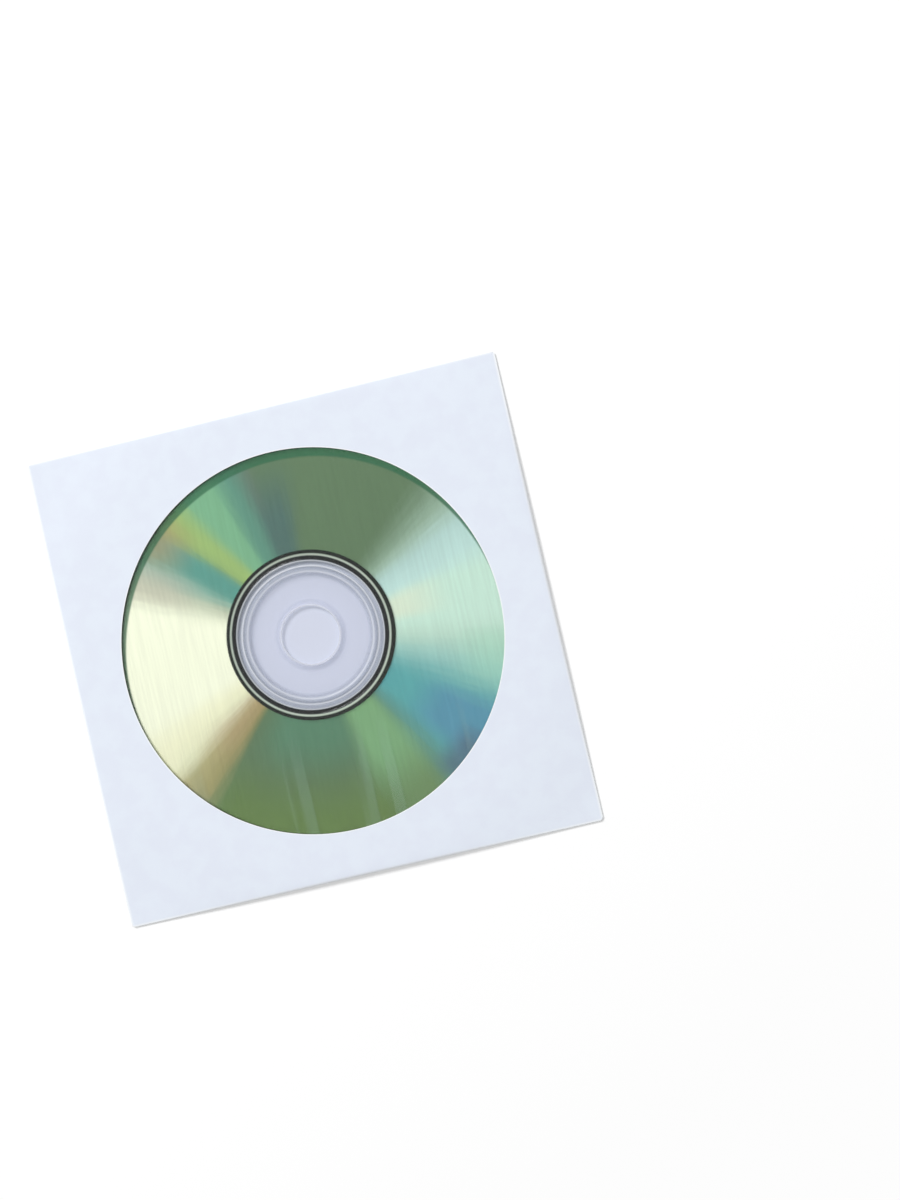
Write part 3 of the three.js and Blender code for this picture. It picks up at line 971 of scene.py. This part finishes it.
coat_finish = Finish("recording_coat_finish")
coat_place = coat_finish.flat(coat_finish.place(DISC_CENTRE))
coat_reach = coat_finish.length(coat_place)
direction_axes = coat_finish.axes(coat_finish.vector_math("NORMALIZE", coat_place))
along_spoke = coat_finish.math("DIVIDE", coat_reach, BRUSH_LENGTH / BRUSH_SPACING)
brush_place = coat_finish.add("ShaderNodeCombineXYZ", {
    "X": direction_axes["X"],
    "Y": direction_axes["Y"],
    "Z": along_spoke,
})
brush = coat_finish.noise(brush_place, BRUSH_SPACING, detail=4, roughness=BRUSH_ROUGHNESS)
brush_swing = coat_finish.math("SUBTRACT", brush, NOISE_MEAN)
brush_shift = coat_finish.math("MULTIPLY", brush_swing, BRUSH_REACH)
clean_angle = coat_finish.math("ARCTAN2", direction_axes["Y"], direction_axes["X"])
coat_angle = coat_finish.math("ADD", clean_angle, brush_shift)
coat_past_middle = coat_finish.math("SUBTRACT", coat_reach, FAN_MIDDLE_RADIUS)
print("the brush shifts a fan's side by up to", round(math.degrees(BRUSH_REACH) / 2, 1), "degrees")

# %% [markdown]
# A fan is a sector of colour about the disc's middle, with a flat middle and soft sides. It could be
# left to a diffraction formula and lamps, but few shaders have one, and it would be lost when the
# material is exported. So each fan is laid over the ones before it like a glaze. Its colours may turn
# a little with the radius, its sides may spread, and it may grow towards the hub or the rim. The
# arc cosine of the cosine of an angle says how far a point is off the fan's direction, and it has no
# seam where the angle jumps from 360 back to 0 degrees.

# %% Glaze of one fan


def fan(under, direction, flat, edge, colour, twist=0.0, spread=0.0, strength=1.0, grow=None):
    """Lays a sector of colour over the colour under it. Angles are in degrees, twist and spread in
    degrees per mm of radius. grow gives two radii in mm, from where the sector isn't there to where
    it is."""
    turn = coat_finish.math("MULTIPLY", coat_past_middle, math.radians(twist) / MM)
    turned_angle = coat_finish.math("SUBTRACT", coat_angle, turn)
    off_centre = coat_finish.math("SUBTRACT", turned_angle, math.radians(direction))
    off = coat_finish.math("ARCCOSINE", coat_finish.math("COSINE", off_centre))
    widening = coat_finish.math("MULTIPLY", coat_past_middle, math.radians(spread) / MM)
    off = coat_finish.math("SUBTRACT", off, widening)
    share = coat_finish.ramp(off, math.radians(flat), math.radians(flat + edge), strength, 0.0)
    if grow:
        start, end = grow
        low, high = sorted(grow)
        presence = coat_finish.ramp(
            coat_reach, low * MM, high * MM, float(start > end), float(end > start))
        share = coat_finish.math("MULTIPLY", share, presence)
    return coat_finish.tint(share, under, colour)


print("coat's nodes before the fans:", len(coat_finish.tree.nodes))

# %% [markdown]
# The dye's own green shows at the side away from the light and at the opposite side. It isn't one
# green: it is more yellow at the rim, bluer at the hub, and ends in clear greens and blues next to
# the bright fans. Each line gives a fan's direction, half of its flat middle and its soft edge in
# degrees, and then its colour. Directions count anticlockwise from the sleeve's right-hand side.

# %% Green ground and blue fans
coat_colour = screen(96, 124, 90)
coat_colour = fan(coat_colour, 257, 22, 20, screen(103, 132, 75), grow=(32, 50))
coat_colour = fan(coat_colour, 258, 14, 20, screen(91, 135, 105), grow=(40, 26))
coat_colour = fan(coat_colour, 96, 5, 10, screen(78, 110, 105), strength=0.85, grow=(50, 30))
coat_colour = fan(coat_colour, 104, 3, 6, screen(106, 115, 110), strength=0.5, grow=(30, 42))
coat_colour = fan(coat_colour, 293, 3, 10, screen(111, 143, 95))
coat_colour = fan(coat_colour, 292, 5, 12, screen(125, 172, 122), grow=(50, 34))
coat_colour = fan(coat_colour, 325, 12, 16, screen(92, 169, 167), twist=-0.1)
coat_colour = fan(coat_colour, 318, 4, 9, screen(90, 146, 172), strength=0.8, grow=(28, 40))
coat_colour = fan(coat_colour, 309, 3, 8, screen(88, 108, 126), strength=0.75, grow=(43, 50))
print("coat's nodes with the ground:", len(coat_finish.tree.nodes))

# %% [markdown]
# To the right the mirror throws back the pale surround in a broad mint fan. It is greener on its lower
# side, bluer on its upper side and slightly yellow in the middle.

# %% Pale mint fan
coat_colour = fan(coat_colour, 4, 8, 34, screen(201, 234, 213))
coat_colour = fan(coat_colour, 340, 4, 9, screen(168, 222, 191), strength=0.45, grow=(34, 48))
coat_colour = fan(coat_colour, 20, 3, 9, screen(182, 218, 220), strength=0.45)
coat_colour = fan(coat_colour, 5, 3, 8, screen(230, 234, 203), strength=0.55, grow=(40, 24))
print("coat's nodes with the mint fan:", len(coat_finish.tree.nodes))

# %% [markdown]
# To the left lies the brightest fan, nearly white. Its colours come apart at both sides: sand and
# olive below it, and above it green, a yellow-green that turns with the radius, and a little brown.

# %% White fan and its sides
coat_colour = fan(coat_colour, 109, 3, 9, screen(94, 146, 124))
coat_colour = fan(coat_colour, 118, 4, 8, screen(122, 178, 136), spread=0.1)
coat_colour = fan(coat_colour, 140, 5, 9, screen(92, 156, 140))
coat_colour = fan(coat_colour, 183, 20, 25, screen(249, 254, 224), spread=0.15)
coat_colour = fan(coat_colour, 150, 2, 8, screen(183, 178, 158), strength=0.5, grow=(28, 42))
coat_colour = fan(coat_colour, 210, 4, 12, screen(235, 234, 185), strength=0.5)
coat_colour = fan(coat_colour, 220, 2, 7, screen(163, 150, 88), strength=0.7)
coat_colour = fan(coat_colour, 217, 2, 8, screen(184, 150, 118), strength=0.35, grow=(44, 30))
coat_colour = fan(coat_colour, 127, 1, 8, screen(154, 186, 112), twist=0.08)
coat_colour = fan(coat_colour, 135, 3, 8, screen(170, 150, 104), strength=0.65, grow=(34, 48))
print("coat's nodes with all fans:", len(coat_finish.tree.nodes))

# %% [markdown]
# Two more things belong to the coat. Light comes from beyond the flap, so the window's edge shades
# a narrow crescent of the disc on that side: it is what a circle like the window, moved away from the
# light, leaves uncovered. The film's drawn lines also lay a faint grain over the mirror, along the
# sleeve's height.

# %% Grain and crescent
GRAIN_WIDTH = 0.7 * MM
GRAIN_STRETCH = (1, 30, 1)
GRAIN_DARKEST = 0.93
GRAIN_LOW = 0.3
GRAIN_HIGH = 0.7
SHADE_DIRECTION = math.radians(99)
SHADE_WIDTH = 2.3 * MM
SHADE_INNER = WINDOW_RADIUS - 0.4 * MM
SHADE_OUTER = WINDOW_RADIUS + 0.2 * MM
SHADE_COLOUR = screen(44, 104, 70)
SHADE_STRENGTH = 0.85

film_grain = coat_finish.noise(coat_place, GRAIN_WIDTH, GRAIN_STRETCH, detail=2)
grain_tone = coat_finish.ramp(film_grain, GRAIN_LOW, GRAIN_HIGH, GRAIN_DARKEST)
grained = coat_finish.add(
    "ShaderNodeVectorMath", {0: coat_colour, "Scale": grain_tone}, operation="SCALE")
shade_centre = Vector((math.cos(SHADE_DIRECTION), math.sin(SHADE_DIRECTION), 0)) * -SHADE_WIDTH
shade_reach = coat_finish.length(coat_finish.flat(coat_finish.place(shade_centre)))
shade = coat_finish.ramp(shade_reach, SHADE_INNER, SHADE_OUTER, 0.0, SHADE_STRENGTH)
coat_colour = coat_finish.tint(shade, grained, SHADE_COLOUR)
print("widest place of the crescent in mm:", round(SHADE_WIDTH / MM, 1))

# %% [markdown]
# At the hub the coat ends in a dark line, the bare edge of its metal. Then the colour goes to
# a metallic shader, because a mirror gives its colour to what it reflects. It is a little rough, as
# the track blurs what the disc reflects.

# %% Coat's edge and shader
DARK_LINE = screen(16, 36, 22)
DARK_LINE_END = 22.05 * MM
DARK_LINE_BLUR = 0.12 * MM
COAT_ROUGHNESS = 0.28

dark_line = coat_finish.ramp(
    coat_reach, DARK_LINE_END - DARK_LINE_BLUR, DARK_LINE_END + DARK_LINE_BLUR, 1.0, 0.0)
coat_colour = coat_finish.tint(dark_line, coat_colour, DARK_LINE)
coat_finish.surface(coat_finish.add("ShaderNodeBsdfPrincipled", {
    "Base Color": coat_colour,
    "Metallic": 1.0,
    "Roughness": COAT_ROUGHNESS,
}))
print("nodes in the coat's finish:", len(coat_finish.tree.nodes))

# %% [markdown]
# Each new piece stands for one solid of the frame and takes its place on the same body. A finish goes
# onto the piece and onto the solid that it replaces.

# %% Pieces on the frame


def dress(piece, node, finish):
    for item in (piece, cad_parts[node]):
        item.data.materials.clear()
        item.data.materials.append(finish.material)
    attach(piece, "root")
    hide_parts(node)
    print(piece.name, "takes the place of", node)


dress(sleeve_paper, "paper_sleeve", paper_finish)
dress(film_patch, "window_film", film_finish)
dress(disc_plate, "disc_substrate", plate_finish)
dress(disc_coat, "disc_recording_layer", coat_finish)

# %% [markdown]
